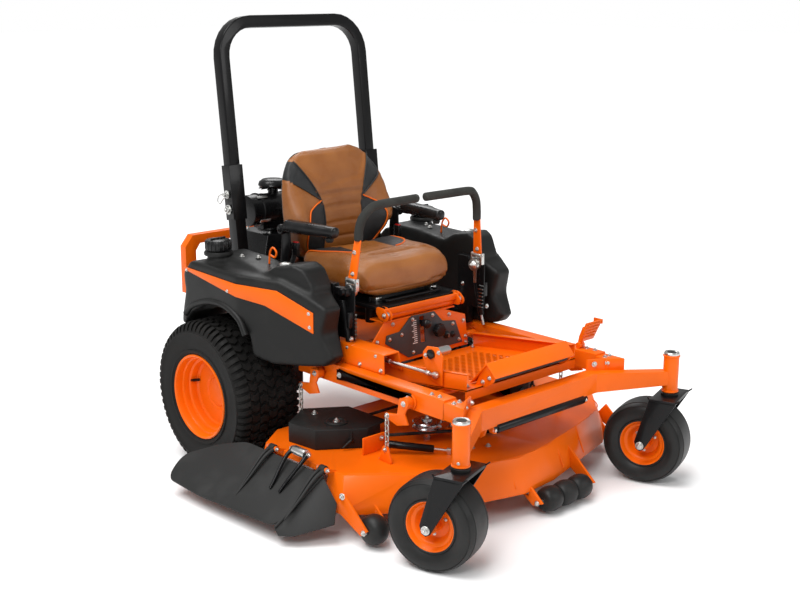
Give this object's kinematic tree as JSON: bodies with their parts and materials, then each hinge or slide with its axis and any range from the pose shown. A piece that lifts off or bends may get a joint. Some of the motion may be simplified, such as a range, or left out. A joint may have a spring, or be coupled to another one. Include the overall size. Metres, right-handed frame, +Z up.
{
  "type": "zero turn mower",
  "caption": "Ride-on zero turn mower with a side-discharge deck, two lap-bar levers, front casters, a suspension seat and a folding roll bar.",
  "frame": {"origin": "on the ground under the middle of the machine's box", "axes": "-Y is the driving direction, +X is the operator's left and +Z is up"},
  "size_m": [1.707, 2.0719, 1.7749],
  "materials": {
    "orange": "gloss powder coat",
    "black_paint": "gloss powder coat",
    "grey_panel": "satin decal plate",
    "bright_steel": "zinc plated",
    "cast_alloy": "black painted casting",
    "black_plastic": "moulded, fine texture",
    "rubber": "matte",
    "tyre": "matte",
    "brown_vinyl": "soft grained vinyl"
  },
  "bodies": {
    "chassis": {"rail_right": "orange", "rail_left": "orange", "engine_deck": "orange", "front_beam": "orange", "floor_pan": "orange", "kick_plate": "orange", "console_panel": "orange", "control_plate": "grey_panel", "link_housing": "orange", "lever_stand_right": "black_paint", "lever_stand_left": "black_paint", "fuel_tank_right": "black_plastic", "fuel_tank_left": "black_plastic", "stripe_panel_right": "orange", "stripe_panel_left": "orange", "engine_block": "cast_alloy", "engine_shroud": "black_paint", "air_filter": "black_plastic", "rear_bumper": "orange", "rops_post_right": "black_paint", "rops_post_left": "black_paint"},
    "rear_wheel_right": {"rear_tyre_right": "tyre", "rear_rim_right": "orange"},
    "caster_right": {"caster_fork_right": "black_paint"},
    "caster_wheel_right": {"caster_tyre_right": "tyre", "caster_rim_right": "orange"},
    "lever_hub_right": {"lever_hub_right": "bright_steel"},
    "control_lever_right": {"control_lever_right": "orange"},
    "fuel_cap_right": {"fuel_cap_right": "black_plastic"},
    "rear_wheel_left": {"rear_tyre_left": "tyre", "rear_rim_left": "orange"},
    "caster_left": {"caster_fork_left": "black_paint"},
    "caster_wheel_left": {"caster_tyre_left": "tyre", "caster_rim_left": "orange"},
    "lever_hub_left": {"lever_hub_left": "bright_steel"},
    "control_lever_left": {"control_lever_left": "orange"},
    "fuel_cap_left": {"fuel_cap_left": "black_plastic"},
    "roll_bar": {"rops_hoop": "black_paint"},
    "seat": {"seat_platform": "black_paint", "seat_cushion": "brown_vinyl", "seat_back": "brown_vinyl"},
    "armrest_right": {"armrest_right": "rubber"},
    "armrest_left": {"armrest_left": "rubber"},
    "height_pin": {"height_pin": "black_paint"},
    "tension_knob": {"tension_knob": "black_plastic"},
    "deck": {"deck_shell": "orange", "belt_cover_right": "black_paint", "belt_cover_left": "black_paint"},
    "hanger_front": {"hanger_front": "orange"},
    "hanger_rear": {"hanger_rear": "orange"},
    "lift_pedal": {"lift_pedal": "orange"},
    "lift_rocker": {"lift_rocker": "orange"},
    "lift_rod": {"lift_rod": "bright_steel"},
    "spindle_centre": {"spindle_centre": "bright_steel"},
    "spindle_right": {"spindle_right": "bright_steel"},
    "spindle_left": {"spindle_left": "bright_steel"},
    "chute": {"chute": "rubber"},
    "front_rollers": {"front_rollers": "rubber"},
    "side_roller_right": {"side_roller_right": "rubber"},
    "side_roller_left": {"side_roller_left": "rubber"}
  },
  "joints": [
    {"name": "rear_wheel_right_spin", "type": "hinge", "parent": "chassis", "child": "rear_wheel_right", "pos_m": [-0.4715, 0.39595, 0.305], "axis": [1, 0, 0], "continuous": true},
    {"name": "caster_right_swivel", "type": "hinge", "parent": "chassis", "child": "caster_right", "pos_m": [-0.501, -0.94605, 0.45], "axis": [0, 0, 1], "continuous": true},
    {"name": "caster_right_roll", "type": "hinge", "parent": "caster_right", "child": "caster_wheel_right", "pos_m": [-0.52737, -0.86946, 0.163], "axis": [0.9455, 0.3256, 0], "continuous": true},
    {"name": "lever_right_drive", "type": "hinge", "parent": "chassis", "child": "lever_hub_right", "pos_m": [-0.2635, -0.12405, 0.776], "axis": [1, 0, 0], "range_deg": [-15, 18]},
    {"name": "lever_right_swing", "type": "hinge", "parent": "lever_hub_right", "child": "control_lever_right", "pos_m": [-0.2635, -0.13505, 0.815], "axis": [0, -1, 0], "range_deg": [0, 32]},
    {"name": "fuel_cap_right_turn", "type": "hinge", "parent": "chassis", "child": "fuel_cap_right", "pos_m": [-0.4815, 0.41595, 0.903], "axis": [0, 0, 1], "range_deg": [0, 180]},
    {"name": "rear_wheel_left_spin", "type": "hinge", "parent": "chassis", "child": "rear_wheel_left", "pos_m": [0.6285, 0.39595, 0.305], "axis": [1, 0, 0], "continuous": true},
    {"name": "caster_left_swivel", "type": "hinge", "parent": "chassis", "child": "caster_left", "pos_m": [0.658, -0.94605, 0.45], "axis": [0, 0, 1], "continuous": true},
    {"name": "caster_left_roll", "type": "hinge", "parent": "caster_left", "child": "caster_wheel_left", "pos_m": [0.63163, -0.86946, 0.163], "axis": [0.9455, 0.3256, 0], "continuous": true},
    {"name": "lever_left_drive", "type": "hinge", "parent": "chassis", "child": "lever_hub_left", "pos_m": [0.4205, -0.12405, 0.776], "axis": [1, 0, 0], "range_deg": [-15, 18]},
    {"name": "lever_left_swing", "type": "hinge", "parent": "lever_hub_left", "child": "control_lever_left", "pos_m": [0.4205, -0.13505, 0.815], "axis": [0, 1, 0], "range_deg": [0, 32]},
    {"name": "fuel_cap_left_turn", "type": "hinge", "parent": "chassis", "child": "fuel_cap_left", "pos_m": [0.6385, 0.41595, 0.903], "axis": [0, 0, 1], "range_deg": [0, 180]},
    {"name": "roll_bar_fold", "type": "hinge", "parent": "chassis", "child": "roll_bar", "pos_m": [0.0785, 0.55945, 1.003], "axis": [-1, 0, 0], "range_deg": [0, 90]},
    {"name": "seat_tilt", "type": "hinge", "parent": "chassis", "child": "seat", "pos_m": [0.0785, -0.14305, 0.651], "axis": [1, 0, 0], "range_deg": [0, 20]},
    {"name": "armrest_right_flip", "type": "hinge", "parent": "seat", "child": "armrest_right", "pos_m": [-0.2395, 0.31795, 0.946], "axis": [-1, 0, 0], "range_deg": [0, 85]},
    {"name": "armrest_left_flip", "type": "hinge", "parent": "seat", "child": "armrest_left", "pos_m": [0.3965, 0.31795, 0.946], "axis": [-1, 0, 0], "range_deg": [0, 85]},
    {"name": "height_pin_slide", "type": "slide", "parent": "chassis", "child": "height_pin", "axis": [-0.0995, 0, 0.995], "range_m": [-0.07, 0.012]},
    {"name": "tension_knob_turn", "type": "hinge", "parent": "chassis", "child": "tension_knob", "pos_m": [0.1595, -0.18005, 0.554], "axis": [0, 1, 0], "range_deg": [0, 270]},
    {"name": "deck_lift", "type": "slide", "parent": "chassis", "child": "deck", "axis": [0, 0, 1], "range_m": [-0.04, 0.05]},
    {"name": "hanger_front_turn", "type": "hinge", "parent": "chassis", "child": "hanger_front", "pos_m": [0.0785, -0.57205, 0.47], "axis": [1, 0, 0], "range_deg": [-25, 31]},
    {"name": "hanger_rear_turn", "type": "hinge", "parent": "chassis", "child": "hanger_rear", "pos_m": [0.0785, -0.08205, 0.47], "axis": [1, 0, 0], "range_deg": [-25, 31]},
    {"name": "lift_pedal_push", "type": "hinge", "parent": "chassis", "child": "lift_pedal", "pos_m": [0.4905, -0.63205, 0.5245], "axis": [1, 0, 0], "range_deg": [-17, 21]},
    {"name": "lift_rocker_turn", "type": "hinge", "parent": "chassis", "child": "lift_rocker", "pos_m": [-0.1875, -0.53405, 0.61], "axis": [1, 0, 0], "range_deg": [-13, 16]},
    {"name": "lift_rod_slide", "type": "slide", "parent": "chassis", "child": "lift_rod", "axis": [-0.0891, 0.9955, 0.031], "range_m": [-0.016, 0.02]},
    {"name": "spindle_centre_spin", "type": "hinge", "parent": "deck", "child": "spindle_centre", "pos_m": [0.0935, -0.49405, 0.262], "axis": [0, 0, 1], "continuous": true},
    {"name": "spindle_right_spin", "type": "hinge", "parent": "deck", "child": "spindle_right", "pos_m": [-0.3965, -0.19405, 0.262], "axis": [0, 0, 1], "continuous": true},
    {"name": "spindle_left_spin", "type": "hinge", "parent": "deck", "child": "spindle_left", "pos_m": [0.5835, -0.19405, 0.262], "axis": [0, 0, 1], "continuous": true},
    {"name": "chute_flip", "type": "hinge", "parent": "deck", "child": "chute", "pos_m": [-0.6335, -0.25405, 0.237], "axis": [0, 1, 0], "range_deg": [0, 100]},
    {"name": "front_rollers_spin", "type": "hinge", "parent": "deck", "child": "front_rollers", "pos_m": [0.1665, -0.84205, 0.058], "axis": [1, 0, 0], "continuous": true},
    {"name": "side_roller_right_spin", "type": "hinge", "parent": "deck", "child": "side_roller_right", "pos_m": [-0.5885, -0.61905, 0.066], "axis": [1, 0, 0], "continuous": true},
    {"name": "side_roller_left_spin", "type": "hinge", "parent": "deck", "child": "side_roller_left", "pos_m": [0.7755, -0.61905, 0.066], "axis": [1, 0, 0], "continuous": true}
  ],
  "couplings": [
    {"joint": "hanger_front_turn", "follows": "deck_lift", "rad_per_m": 10.4},
    {"joint": "hanger_rear_turn", "follows": "deck_lift", "rad_per_m": 10.4},
    {"joint": "lift_pedal_push", "follows": "deck_lift", "rad_per_m": 7},
    {"joint": "lift_rocker_turn", "follows": "deck_lift", "rad_per_m": 5.2},
    {"joint": "lift_rod_slide", "follows": "deck_lift", "ratio": 0.366},
    {"joint": "spindle_right_spin", "follows": "spindle_centre_spin", "ratio": 1},
    {"joint": "spindle_left_spin", "follows": "spindle_centre_spin", "ratio": 1}
  ]
}
